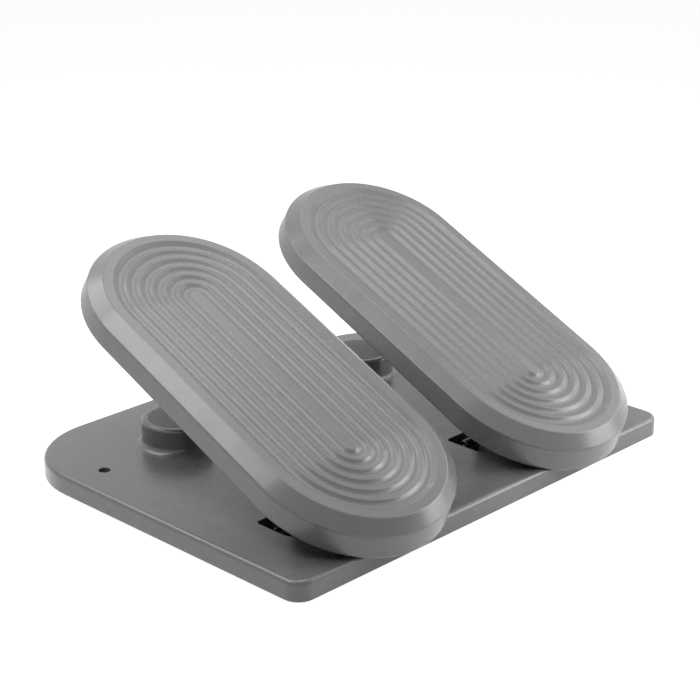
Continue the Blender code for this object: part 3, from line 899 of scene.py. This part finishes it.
class FOOTREST_OT_feet(Operator):
    """Six rubber feet with ringed soles."""

    bl_idname = "footrest.feet"
    bl_label = "Rubber Feet"

    def execute(self, context):
        # (radius, height, corner radius) from the sole's middle outward; the base's underside is at height 0
        corners = [(0.0004, -0.0016, 0), (0.0016, -0.0016, 0.0002), (0.0020, -0.0020, 0.0002)]
        for start in (0.0020, 0.0038, 0.0056):
            corners += [
                (start + 0.0010, -0.0020, 0.0002), (start + 0.0012, -0.0016, 0.0001),
                (start + 0.0015, -0.0016, 0.0001), (start + 0.0018, -0.0020, 0.0002),
            ]
        corners += [(0.0083, -0.0020, 0.0006), (0.0090, -0.0009, 0.0006), (0.0090, 0.0008, 0)]
        rings = turned_rings(rounded_path(corners, 3), FOOT_STEPS)
        for name, place in foot_places().items():
            foot = lofted("foot_" + name, rings, "rubber", angle=50.0)
            foot.location = (place[0], place[1] + BASE_Y, BASE_Z)
            fit_in(foot, "base", "rubber_foot_" + name)
        return {"FINISHED"}


class FOOTREST_OT_stop_pads(Operator):
    """Discs set into the tops of the stop bosses."""

    bl_idname = "footrest.stop_pads"
    bl_label = "Stop Pads"

    def execute(self, context):
        corners = [
            (0.0010, PAD_BED, 0), (PAD_R - 0.0006, PAD_BED, 0), (PAD_R, PAD_BED + 0.0005, 0.0003),
            (PAD_R, PAD_TOP, 0.0001), (PAD_R - 0.0040, PAD_TOP, 0), (0.0010, PAD_TOP, 0),
        ]
        rings = turned_rings([(r, z - PAD_BED) for r, z in rounded_path(corners, 8)], BOSS_STEPS)
        for name, side in SIDES:
            disc = lofted("stop_disc_" + name, rings, "pad")
            disc.location = (side * PEDAL_X, BOSS_Y + BASE_Y, PAD_BED + BASE_Z)
            even_normals(disc)
            fit_in(disc, "base", "stop_pad_" + name)
        return {"FINISHED"}


# Screws

def screw(name, head_r, head_h, length):
    """Pan-head screw with a cross recess, its head face down at the origin."""
    # (radius, height, corner radius) from the middle of the head's face to the screw's tip
    shank = 0.0015
    corners = [
        (0.0002, 0.0, 0), (head_r * 0.72, 0.0, head_h * 0.5), (head_r, head_h * 0.45, head_h * 0.3),
        (head_r, head_h, 0.0001), (shank, head_h, 0.0001), (shank, length - 0.0012, 0.0003),
        (0.0004, length, 0),
    ]
    body = lofted(name, turned_rings(rounded_path(corners, 5), PIN_STEPS), "zinc", angle=40.0)
    wide = head_r * 0.62
    slim = 0.00035
    slots = []
    for turn in (0, 1):
        low = []
        high = []
        for x, y in ((-wide, -slim), (wide, -slim), (wide, slim), (-wide, slim)):
            point = (y, x) if turn else (x, y)
            low.append((point[0], point[1], -0.0005))
            high.append((point[0] * 0.45, point[1] * 0.8, head_h * 0.62))
        slots.append([low, high])
    combine(body, tool("driver slot a", [slots[0]]), "DIFFERENCE")
    combine(body, tool("driver slot b", [slots[1]]), "DIFFERENCE")
    smooth(body, 40.0)
    return body


def copy_of(obj, name):
    twin = obj.copy()
    twin.name = name
    bpy.context.scene.collection.objects.link(twin)
    return twin


class FOOTREST_OT_base_screws(Operator):
    """Eight screws that hold the cover plate."""

    bl_idname = "footrest.base_screws"
    bl_label = "Base Screws"

    def execute(self, context):
        first = screw("cover_screw_1", 0.0030, 0.0008, 0.0092)
        made = [first]
        for number in range(2, len(COVER_SCREWS) + 1):
            made.append(copy_of(first, "cover_screw_%d" % number))
        for i, (one, place) in enumerate(zip(made, COVER_SCREWS)):
            one.location = (place[0], place[1] + BASE_Y, COVER_LOW + BASE_Z)
            one.rotation_euler = (0.0, 0.0, 0.7 * i)
            fit_in(one, "base", "base_screw_%d" % (i + 1))
        return {"FINISHED"}


# Hinge

class FOOTREST_OT_hinge_pins(Operator):
    """Ground steel pins with bevelled, centre-drilled ends and a groove for each retaining ring."""

    bl_idname = "footrest.hinge_pins"
    bl_label = "Hinge Pins"

    def execute(self, context):
        low = RING_X - GROOVE_HALF
        high = RING_X + GROOVE_HALF
        # (radius, distance from the pin's middle, corner radius), out to the drilled centre of the end
        right = [
            (PIN_R, low, 0.0001), (GROOVE_R, low, 0.0001), (GROOVE_R, high, 0.0001), (PIN_R, high, 0.0001),
            (PIN_R, PIN_HALF - 0.0005, 0.0001), (PIN_R - 0.0005, PIN_HALF, 0.0001),
            (0.0013, PIN_HALF, 0.0001), (0.0002, PIN_HALF - 0.0009, 0),
        ]
        left = [(r, -x, radius) for r, x, radius in reversed(right)]
        rings = turned_rings(rounded_path(left + right, 3), PIN_STEPS)
        for name, side in SIDES:
            pin = lofted("pivot_pin_" + name, along_x(rings), "steel", angle=25.0)
            pin.location = hinge_place(side)
            even_normals(pin)
            fit_in(pin, "base", "hinge_pin_" + name)
        return {"FINISHED"}


class FOOTREST_OT_retaining_rings(Operator):
    """Open rings that snap into the grooves of the pins."""

    bl_idname = "footrest.retaining_rings"
    bl_label = "Retaining Rings"

    def execute(self, context):
        outline = []
        for radius, way in ((RING_OUTER_R, 1), (RING_INNER_R, -1)):
            for i in range(PIN_STEPS + 1):
                turned = RING_HALF_MOUTH + (2 * math.pi - 2 * RING_HALF_MOUTH) * i / PIN_STEPS
                angle = -math.pi / 2 + way * turned
                outline.append((radius * math.cos(angle), radius * math.sin(angle)))
        for name, side in SIDES:
            for label, end in SIDES:
                bm = bmesh.new()
                rows = [[bm.verts.new((x, y, z)) for y, z in outline] for x in (-RING_HALF_T, RING_HALF_T)]
                count = len(outline)
                for i in range(count):
                    j = (i + 1) % count
                    bm.faces.new((rows[0][i], rows[0][j], rows[1][j], rows[1][i]))
                for row in rows:
                    for i in range(PIN_STEPS):
                        bm.faces.new((row[i], row[i + 1], row[count - 2 - i], row[count - 1 - i]))
                ring = piece("snap_ring_%s_%s" % (name, label), bm, "zinc")
                bevel(ring, 0.00015, 2)
                smooth(ring)
                ring.location = hinge_place(side, end * RING_X)
                fit_in(ring, "base", "retaining_ring_%s_%s" % (name, label))
        return {"FINISHED"}


def wire(name, points, kind):
    """A round wire along the points, ends closed and a little rounded."""
    curve = bpy.data.curves.new(name, "CURVE")
    curve.dimensions = "3D"
    curve.bevel_depth = WIRE_R
    curve.bevel_resolution = 5
    curve.use_fill_caps = True
    spline = curve.splines.new("POLY")
    spline.points.add(len(points) - 1)
    for target, point in zip(spline.points, points):
        target.co = (*point, 1.0)
    spline.use_smooth = True
    spline.points[0].radius = 0.86
    spline.points[-1].radius = 0.86
    curve.materials.append(finish_of(kind))
    obj = bpy.data.objects.new(name, curve)
    bpy.context.scene.collection.objects.link(obj)
    return obj


def coil_point(turn):
    """A point of the spring's coil about the pin; the turn starts at the pin's top."""
    angle = math.pi / 2 + turn
    x = SPRING_PITCH * (turn / (2 * math.pi) - SPRING_CURLS / 2)
    return Vector((x, SPRING_R * math.cos(angle), SPRING_R * math.sin(angle)))


class FOOTREST_OT_springs(Operator):
    """Torsion springs: the coil and its lower leg stay with the base, the upper arm turns with the pedal."""

    bl_idname = "footrest.springs"
    bl_label = "Torsion Springs"

    def execute(self, context):
        rise = math.pi / 2 + sizes().tilt
        sweep = 2 * math.pi * SPRING_CURLS - (math.pi - rise)
        travel = math.radians(frame["joints"][0]["range_deg"][1])
        held = sweep - travel - SPRING_SLACK
        start = coil_point(0.0)
        # The base's leg is drawn from its end, on the toes' side, back to the top of the coil
        leg = [start + Vector((0.0, reach, 0.0)) for reach in (0.0190, 0.0187, 0.0110, 0.0030, 0.0008)]
        count = round(40 * held / (2 * math.pi))
        coil = leg + [coil_point(held * i / count) for i in range(count + 1)]
        lap_start = held - SPRING_LAP
        arc = [coil_point(lap_start + (sweep - lap_start) * i / 14) for i in range(15)]
        along = Vector((0.0, math.cos(rise), math.sin(rise)))
        reaches = (0.0010, 0.006, 0.014, SPRING_LEG - 0.0003, SPRING_LEG)
        arm = arc + [arc[-1] + along * reach for reach in reaches]
        for name, side in SIDES:
            place = hinge_place(side)
            body = wire("spring_coil_" + name, coil, "wire")
            body.location = place
            fit_in(body, "base", "torsion_spring_" + name)
            end = wire("spring_arm_" + name, arm, "wire")
            end.location = place
            fit_in(end, name + "_pedal", None)
        return {"FINISHED"}


class FOOTREST_OT_bushes(Operator):
    """Flanged bronze bushes in the pedals' hinge ears."""

    bl_idname = "footrest.bushes"
    bl_label = "Hinge Bushes"

    def execute(self, context):
        start = EAR_X - EAR_T / 2 - BUSH_SLACK
        face = EAR_X + EAR_T / 2 + BUSH_SLACK
        end = face + BUSH_FLANGE_T
        # (radius, distance from the pedal's middle plane, corner radius), round the section and back
        corners = [
            (BUSH_BORE_R, (start + end) / 2, 0), (BUSH_BORE_R, start, 0.0002), (BUSH_R, start, 0.0002),
            (BUSH_R, face, 0.0001), (BUSH_FLANGE_R, face, 0.0002), (BUSH_FLANGE_R, end, 0.0002),
            (BUSH_BORE_R, end, 0.0002), (BUSH_BORE_R, (start + end) / 2, 0),
        ]
        profile = rounded_path(corners, 3)[:-1]
        for name, side in SIDES:
            for label, way in SIDES:
                rings = along_x(turned_rings(profile, FOOT_STEPS))
                rings = [[(way * x, y, z) for x, y, z in ring] for ring in rings]
                bush = lofted("flanged_bush_%s_%s" % (name, label), rings, "bronze", closed=True)
                set_on_pedal(bush, side)
                fit_in(bush, name + "_pedal", "hinge_bush_%s_%s" % (name, label))
        return {"FINISHED"}


# Pedals: (u, v, w) are across, along to the toe and up. They start in the middle of the rim plane, and
# stadium and to_pedal give them from the pin

def stadium(radius, arc, depth_of):
    """One outline of the pedal: a half circle at each end, with straight sides between them."""
    points = []
    for start, centre in ((0.0, arc), (math.pi, -arc)):
        for i in range(ARC_STEPS + 1):
            angle = start + math.pi * i / ARC_STEPS
            points.append((radius * math.cos(angle), centre + radius * math.sin(angle)))
        for i in range(1, STRAIGHT_STEPS):
            points.append((points[-1][0], centre - 2 * centre * i / STRAIGHT_STEPS))
    return [(u, v - PIN_V, -depth_of(v) - PIN_W) for u, v in points]


def level(depth):
    return lambda v: depth


def floor_depth(v):
    """Depth of the underside, which runs a little deeper toward the heel."""
    part = max(0.0, (-v - 0.010) / 0.1335)
    return LOW_DEPTH + HEEL_EXTRA * part ** 1.4


def raised_floor(rise):
    return lambda v: floor_depth(v) - rise


def band_depth(part, high, edge):
    """Depth of the tray's side band: part is 0 at its upper end and 1 where its lower edge starts."""
    return lambda v: high + (floor_depth(v) - edge - high) * part


def cap_arc(depth):
    """Distance of the end arcs' centres from the middle, at a depth in the pedal's cap."""
    part = min(1.0, max(0.0, depth / WIDE_DEPTH))
    return RIM_ARC + (WIDE_ARC - RIM_ARC) * part


def foot_surface():
    """Section of the foot surface as (radius, depth): centre strip, then flutes with narrow crests."""
    s = sizes()
    points = [(STRIP_R * 0.3, s.field_drop), (STRIP_R * 0.8, s.field_drop)]
    full = math.hypot(1.0, CREST_ROUND) - CREST_ROUND
    for step in range(FLUTES * FLUTE_STEPS + 1):
        wave = math.sin(math.pi * step / FLUTE_STEPS)
        hollow = (math.hypot(wave, CREST_ROUND) - CREST_ROUND) / full
        points.append((STRIP_R + s.flute_pitch * step / FLUTE_STEPS, s.field_drop + s.flute_depth * hollow))
    return points


def to_pedal(rings):
    return [[(u, v - PIN_V, w - PIN_W) for u, v, w in ring] for ring in rings]


class FOOTREST_OT_pedal_caps(Operator):
    """Fluted foot surfaces with their flat rims and bevelled edges."""

    bl_idname = "footrest.pedal_caps"
    bl_label = "Pedal Caps"

    def execute(self, context):
        s = sizes()
        # The outermost flute stops part of the way up its outer side, where the step to the rim begins
        surface = foot_surface()[:1 - FLUTE_STEPS // 3]
        step_radius = STRIP_R + FLUTES * s.flute_pitch + RIM_STEP
        skirt_end = WIDE_DEPTH + SKIRT
        inner = s.wide_radius - SHELL_WALL
        # (radius, depth, corner radius), from the last flute over the rim and the bevel to the inside
        edge = [
            (*surface[-1], 0), (step_radius, 0.0, RIM_STEP_R), (s.rim_radius, 0.0, s.rim_edge),
            (s.wide_radius, WIDE_DEPTH, 0.0012), (s.wide_radius, skirt_end, SEAM_R),
            (inner, skirt_end, SEAM_R), (inner, WIDE_DEPTH + 0.0006, 0),
            (s.rim_radius - SHELL_WALL, 0.0036, 0),
        ]
        profile = surface[:-1] + rounded_path(edge, 8)
        rings = [stadium(radius, cap_arc(depth), level(depth)) for radius, depth in profile]
        for name, side in SIDES:
            cap = lofted("pedal_cap_" + name, rings, "plastic", angle=40.0)
            set_on_pedal(cap, side)
            even_normals(cap)
            fit_in(cap, name + "_pedal", "pedal_top_shell_" + name)
        return {"FINISHED"}


def ear_outline():
    """Side view of a hinge ear as (v, w) from the pin: wide at the pedal floor, round at the pin."""
    top = -floor_depth(PIN_V) - PIN_W + 0.0012
    points = [(-0.0200, top), (-0.0200, top - 0.0040)]
    for i in range(33):
        angle = math.radians(190 + 170 * i / 32)
        points.append((EAR_EYE_R * math.cos(angle), EAR_EYE_R * math.sin(angle)))
    points += [(EAR_EYE_R, 0.0050), (0.0230, top - 0.0040), (0.0230, top)]
    return points


def seat_depth(v):
    """Depth of a sunk screw seat's face, a little above the floor's underside."""
    return floor_depth(v) - 0.0016


class FOOTREST_OT_pedal_trays(Operator):
    """Lower halves of the pedals: side band, floor with sunk screw seats, hinge ears and spring web."""

    bl_idname = "footrest.pedal_trays"
    bl_label = "Pedal Trays"

    def execute(self, context):
        s = sizes()
        top_radius = s.wide_radius - 0.0001
        rings = [stadium(s.low_radius - SHELL_WALL, LOW_ARC, raised_floor(0.0026))]
        # (inset, depth, corner radius) round the upper edge of the tray's wall, from its inside
        seam = [
            (SHELL_WALL, 0.0180, 0), (SHELL_WALL, LOW_START, SEAM_R),
            (0.0, LOW_START, SEAM_R), (0.0, 0.0130, 0),
        ]
        for inset, depth in rounded_path(seam, 4)[1:-1]:
            rings.append(stadium(top_radius - inset, WIDE_ARC, level(depth)))
        for part in (0.25, 0.50, 0.75):
            rings.append(stadium(
                top_radius + (s.low_radius - top_radius) * part, WIDE_ARC + (LOW_ARC - WIDE_ARC) * part,
                band_depth(part, LOW_START + SEAM_R, s.low_edge)))
        for i in range(9):
            angle = math.radians(90 * i / 8)
            radius = s.low_radius - s.low_edge * (1 - math.cos(angle))
            rings.append(stadium(radius, LOW_ARC, raised_floor(s.low_edge * (1 - math.sin(angle)))))
        rings.append(stadium(s.low_radius - s.low_edge - 0.0040, LOW_ARC, raised_floor(0.0)))
        for name, side in SIDES:
            tray = lofted("pedal_tray_" + name, rings, "tray", caps=("strips", "strips"))
            set_on_pedal(tray, side)
            self.add_ears(tray)
            self.sink_screws(tray)
            smooth(tray)
            even_normals(tray)
            fit_in(tray, name + "_pedal", "pedal_lower_shell_" + name)
        return {"FINISHED"}

    def add_ears(self, tray):
        ears = []
        for end in (-1, 1):
            x0 = end * EAR_X - EAR_T / 2
            ears.append(prism_x(ear_outline(), x0, x0 + EAR_T))
        ear_tool = tool("ears", ears)
        bevel(ear_tool, 0.0005)
        combine(tray, ear_tool, "UNION")
        face = SPRING_R - WIRE_R - GAP
        top = -floor_depth(PIN_V) - PIN_W + 0.0010
        web = [(face - WEB_T, 0.0090), (face, 0.0090), (face, top), (face - WEB_T, top)]
        reach = EAR_X - EAR_T / 2 + 0.0012
        web_tool = tool("web", [prism_x(web, -reach, reach)])
        combine(tray, web_tool, "UNION")

    def sink_screws(self, tray):
        rims = []
        holes = []
        for u, v in PEDAL_SCREWS:
            floor = -floor_depth(v)
            seat = -seat_depth(v)
            rims.append(to_pedal(bar_rings(floor + 0.0012, seat + 0.0026, 0.0052, (u, v), PIN_STEPS)))
            rows = [(0.0041, floor - 0.003), (0.0041, floor - 0.0001), (0.0036, floor + 0.0004)]
            rows += [(0.0036, seat), (0.0021, seat), (0.0021, seat + 0.006)]
            holes.append(to_pedal(turned_rings(rows, PIN_STEPS, (u, v))))
        for end in (-1, 1):
            x0 = end * EAR_X - EAR_T / 2 - PAST
            eye = bar_rings(0.0, EAR_T + 2 * PAST, BUSH_R + 0.0001, (0.0, 0.0), FOOT_STEPS)
            holes.append(along_x(eye, x0))
        combine(tray, tool("screw seats", rims), "UNION")
        combine(tray, tool("screw holes", holes), "DIFFERENCE")


class FOOTREST_OT_pedal_screws(Operator):
    """Six screws under each pedal."""

    bl_idname = "footrest.pedal_screws"
    bl_label = "Pedal Screws"

    def execute(self, context):
        length = seat_depth(0.0) - 0.0074
        made = []
        first = None
        turn = Matrix.Rotation(sizes().tilt, 4, "X")
        for name, side in SIDES:
            hinge = hinge_place(side)
            for i, (u, v) in enumerate(PEDAL_SCREWS):
                label = "tray_screw_%s_%d" % (name, i + 1)
                one = copy_of(first, label) if first else screw(label, 0.0031, PEDAL_HEAD_H, length)
                first = first or one
                seat = -seat_depth(v) - GAP - PEDAL_HEAD_H
                one.location = hinge + turn @ Vector((u, v - PIN_V, seat - PIN_W))
                one.rotation_euler = (turn @ Matrix.Rotation(0.9 * i + side, 4, "Z")).to_euler()
                made.append((one, name, i + 1))
        for one, name, number in made:
            fit_in(one, name + "_pedal", "pedal_screw_%s_%d" % (name, number))
        return {"FINISHED"}


# Studio

def white_to_camera(tree, base, white):
    """A strength that is white's value to camera, glossy and transmission rays, and base's to all others."""
    path = tree.nodes.new("ShaderNodeLightPath")
    value = path.outputs["Is Camera Ray"]
    for label in ("Is Glossy Ray", "Is Transmission Ray"):
        node = tree.nodes.new("ShaderNodeMath")
        node.operation = "MAXIMUM"
        tree.links.new(value, node.inputs[0])
        tree.links.new(path.outputs[label], node.inputs[1])
        value = node.outputs["Value"]
    node = tree.nodes.new("ShaderNodeMapRange")
    node.inputs["To Min"].default_value = base
    node.inputs["To Max"].default_value = white
    tree.links.new(value, node.inputs["Value"])
    return node.outputs["Result"]


def outward(azimuth, elevation):
    """Direction in radians from the footrest; azimuth 0 is in front of it, at the user's side."""
    flat = math.cos(elevation)
    return Vector((math.sin(azimuth) * flat, -math.cos(azimuth) * flat, math.sin(elevation)))


def soft_light(name, azimuth, elevation, power):
    """A square lamp that faces the footrest from that direction in degrees."""
    out = outward(math.radians(azimuth), math.radians(elevation))
    lamp = bpy.data.lights.new(name, "AREA")
    lamp.shape = "SQUARE"
    lamp.size = LAMP_WIDTH
    lamp.energy = power
    obj = bpy.data.objects.new(name, lamp)
    obj.location = LAMP_AIM + out * LAMP_REACH
    obj.rotation_euler = (-out).to_track_quat("-Z", "Y").to_euler()
    bpy.context.scene.collection.objects.link(obj)


class FOOTREST_OT_studio(Operator):
    """White floor, even surroundings, soft lights and the camera."""

    bl_idname = "footrest.studio"
    bl_label = "Studio"

    def execute(self, context):
        scene = context.scene
        studio = scene.footrest_studio
        self.make_floor()
        world = bpy.data.worlds.new("white surroundings")
        world.use_nodes = True
        tree = world.node_tree
        background = tree.nodes["Background"]
        background.inputs["Color"].default_value = (1.0, 1.0, 1.0, 1.0)
        tree.links.new(white_to_camera(tree, studio.ambient, 1.0), background.inputs["Strength"])
        scene.world = world
        # Name, azimuth and elevation in degrees, and power of each lamp
        lamps = (
            ("front light", 45, 14, studio.front_power),
            ("high front light", 45, 34, studio.front_high_power),
            ("right light", 75, 14, studio.right_power),
            ("high right light", 75, 34, studio.right_high_power),
            ("upper right light", 90, 74, studio.right_high_power),
            ("top light", 0, 90, studio.top_power),
            ("left light", -105, 54, studio.left_power),
            ("back left light", -150, 44, studio.back_left_power),
            ("back right light", 135, 54, studio.back_right_power),
            ("high back right light", 150, 74, studio.back_right_power),
        )
        for lamp in lamps:
            soft_light(*lamp)
        self.place_camera(studio)
        scene.view_settings.view_transform = "Standard"
        return {"FINISHED"}

    def make_floor(self):
        bm = bmesh.new()
        bmesh.ops.create_grid(bm, x_segments=8, y_segments=8, size=FLOOR_HALF)
        floor = piece("studio_floor", bm, None)
        finish = Finish("white floor", 0.9, specular=0.0)
        tone = finish.noise(3.0, 2.0)
        finish.paint(finish.tint(tone, FLOOR_DARK, FLOOR_LIGHT))
        finish.shader.inputs["Emission Color"].default_value = (1.0, 1.0, 1.0, 1.0)
        strength = white_to_camera(finish.material.node_tree, 0.0, FLOOR_WHITE)
        finish.links.new(strength, finish.shader.inputs["Emission Strength"])
        finish.material.cycles.emission_sampling = "NONE"
        floor.data.materials.append(finish.material)

    def place_camera(self, studio):
        data = bpy.data.cameras.new("picture camera")
        data.lens = studio.lens
        data.sensor_width = SENSOR_WIDTH
        data.clip_start = 0.05
        camera = bpy.data.objects.new("picture camera", data)
        camera.location = CAMERA_AIM + outward(CAMERA_AZIMUTH, CAMERA_ELEVATION) * CAMERA_REACH
        camera.rotation_euler = (math.pi / 2 - CAMERA_ELEVATION, 0.0, CAMERA_AZIMUTH)
        bpy.context.scene.collection.objects.link(camera)
        bpy.context.scene.camera = camera


BUILDERS = (
    FOOTREST_OT_base_shell, FOOTREST_OT_base_cover, FOOTREST_OT_feet, FOOTREST_OT_base_screws,
    FOOTREST_OT_stop_pads, FOOTREST_OT_hinge_pins, FOOTREST_OT_retaining_rings, FOOTREST_OT_springs,
    FOOTREST_OT_bushes, FOOTREST_OT_pedal_caps, FOOTREST_OT_pedal_trays, FOOTREST_OT_pedal_screws,
    FOOTREST_OT_studio,
)


class FOOTREST_PT_panel(Panel):
    """Lists the footrest's settings and the steps that build it."""

    bl_idname = "FOOTREST_PT_panel"
    bl_label = "Rocking Footrest"
    bl_space_type = "VIEW_3D"
    bl_region_type = "UI"
    bl_category = "Footrest"

    def draw(self, context):
        layout = self.layout
        scene = context.scene
        for group in (scene.footrest_sizes, scene.footrest_colours, scene.footrest_studio):
            box = layout.box()
            for name in group.__annotations__:
                box.prop(group, name)
        for builder in BUILDERS:
            layout.operator(builder.bl_idname)


SETTINGS = {
    "footrest_sizes": FootrestSizes, "footrest_colours": FootrestColours, "footrest_studio": FootrestStudio,
}


def register():
    for name, group in SETTINGS.items():
        bpy.utils.register_class(group)
        setattr(bpy.types.Scene, name, PointerProperty(type=group))
    for builder in (*BUILDERS, FOOTREST_PT_panel):
        bpy.utils.register_class(builder)


def unregister():
    for builder in (FOOTREST_PT_panel, *reversed(BUILDERS)):
        bpy.utils.unregister_class(builder)
    for name, group in reversed(SETTINGS.items()):
        delattr(bpy.types.Scene, name)
        bpy.utils.unregister_class(group)


def main():
    register()
    for builder in BUILDERS:
        step = getattr(bpy.ops.footrest, builder.bl_idname.split(".")[1])
        if step() != {"FINISHED"}:
            raise RuntimeError(builder.bl_label + " didn't finish")
    bpy.context.view_layer.update()


if __name__ == "__main__":
    main()
